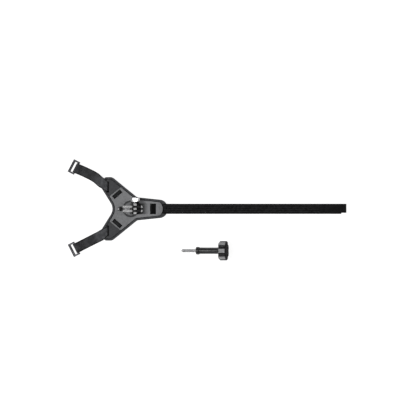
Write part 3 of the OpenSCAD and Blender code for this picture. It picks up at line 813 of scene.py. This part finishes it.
def make_knob():
    """The lobed knob: rounded rims, deep flutes, and fine ridges along the lobes for a sure hold; a
    vertex layer marks the lobe crests for a painted highlight.
    """
    start, end, outer, lobes = 57.4, 68.9, 14.25, 7
    cap_r, inner = 9.0, 2.4
    ridges = 63

    def lobed(s, radius, angle):
        share = max(0.0, (radius - cap_r) / (outer - cap_r))
        turn = (angle - math.pi / 2) / (2 * math.pi)
        phase = abs((turn * lobes + 0.5) % 1 - 0.5) * 2
        dip = 2.55 * max(0.0, math.cos(math.pi / 2 * min(1, (1 - phase) / 0.62))) ** 1.3
        ridge = 0.1 * math.cos(angle * ridges) * max(0.0, 1 - 1.6 * phase)
        return radius - share * dip + share * ridge

    rim_r, dish = 1.6, 0.7
    rim = [(rim_r * (1 - math.cos(a)), outer - rim_r * (1 - math.sin(a)))
           for a in (math.pi / 2 * k / 6 for k in range(7))]
    profile = [(start, inner), (start, cap_r)]
    profile += [(start + s, r) for s, r in rim]
    profile += [(start + rim_r + (end - start - 2 * rim_r) * k / 8, outer) for k in range(1, 8)]
    profile += [(end - s, r) for s, r in reversed(rim)]
    profile += [(end, cap_r + 0.15), (end - dish, cap_r), (end - dish, 0.05)]
    sides = 504
    points, faces = rings_mesh(turned(profile, sides, lobed))
    piece = new_object("knob_moulding", laid_down(points), faces, MATERIAL["crest_highlight"],
                       "locking_screw", sharp=60)
    piece.data.materials.append(MATERIAL["matt"])
    rings_along = [s for s, r in profile]
    for face in piece.data.polygons:
        row = min(face.vertices) // sides
        face.material_index = int(rings_along[row] > end - 0.3)
    # Painted highlight: how near each point is to the lobe crests, away from the rims, which the knob
    # material paints pale.
    crest_highlight = piece.data.attributes.new("crest_highlight", "FLOAT", "POINT")
    for value, (s, y, z) in zip(crest_highlight.data, points):
        reach = math.hypot(y, z)
        inside = min(s - start - 0.8, end - 0.8 - s) / 0.8
        value.value = max(0.0, min(1.0, (reach - outer + 0.75) / 0.6, inside))
    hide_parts("screw_knob")


def make_screw():
    make_stud()
    refined("screw_collar", MATERIAL["black"], 0.3)
    refined("screw_barrel", MATERIAL["black"], 0.2)
    make_knob()
    refined("knob_cap", MATERIAL["matt"], 0.2)


# ---- studio ----
def make_stage():
    material, tree, shader = new_material("floor", **{"Roughness": 0.9, "Emission Strength": 0.84,
                                                      "Emission Color": (1, 1, 1, 1)})
    place = add(tree, "TexCoord").outputs["Object"]
    tree.links.new(ramp(tree, noise(tree, place, 4), [(0.3, 0.49), (0.7, 0.51)]),
                   shader.inputs["Base Color"])
    reach = 12.0
    below = -0.2 * MM
    mesh = bpy.data.meshes.new("floor")
    corners = [(-reach, -reach, below), (reach, -reach, below), (reach, reach, below),
               (-reach, reach, below)]
    mesh.from_pydata(corners, [], [(0, 1, 2, 3)])
    mesh.materials.append(material)
    floor = bpy.data.objects.new("floor", mesh)
    bpy.context.scene.collection.objects.link(floor)


def area_light(name, place, size, power, aim):
    light = bpy.data.lights.new(name, "AREA")
    light.shape = "SQUARE"
    light.size = size
    light.energy = power
    lamp = bpy.data.objects.new(name, light)
    lamp.location = place
    lamp.rotation_euler = (Vector(aim) - Vector(place)).to_track_quat("-Z", "Y").to_euler()
    bpy.context.scene.collection.objects.link(lamp)


def make_light():
    world = bpy.data.worlds.new("studio")
    world.use_nodes = True
    world.node_tree.nodes["Background"].inputs["Color"].default_value = (1, 1, 1, 1)
    world.node_tree.nodes["Background"].inputs["Strength"].default_value = 0.15
    bpy.context.scene.world = world
    middle = (0.1, 0, 0)
    area_light("overhead", (0.11, 0, 6), 1.0, 40, middle)
    area_light("key", (-0.72, -0.15, 1.3), 0.35, 5.0, middle)
    area_light("strip", (-1.3, -0.1, 3.0), 1.0, 17, middle)
    area_light("fill", (0.9, 0.7, 1.1), 0.9, 0.8, middle)
    bpy.context.scene.view_settings.view_transform = "Standard"


def make_camera():
    """Straight down from high up, framing a square field."""
    field, height = 0.6115, 5.0
    centre = (0.1135, 0.00125)
    data = bpy.data.cameras.new("camera")
    data.lens = data.sensor_width * height / field
    data.clip_end = 50
    camera = bpy.data.objects.new("camera", data)
    camera.location = (*centre, height)
    bpy.context.scene.collection.objects.link(camera)
    bpy.context.scene.camera = camera


make_camera()
make_base()
make_arm("upper", UPPER, False)
make_arm("lower", LOWER, True)
make_long_strap()
make_swivel()
make_screw()
make_stage()
make_light()
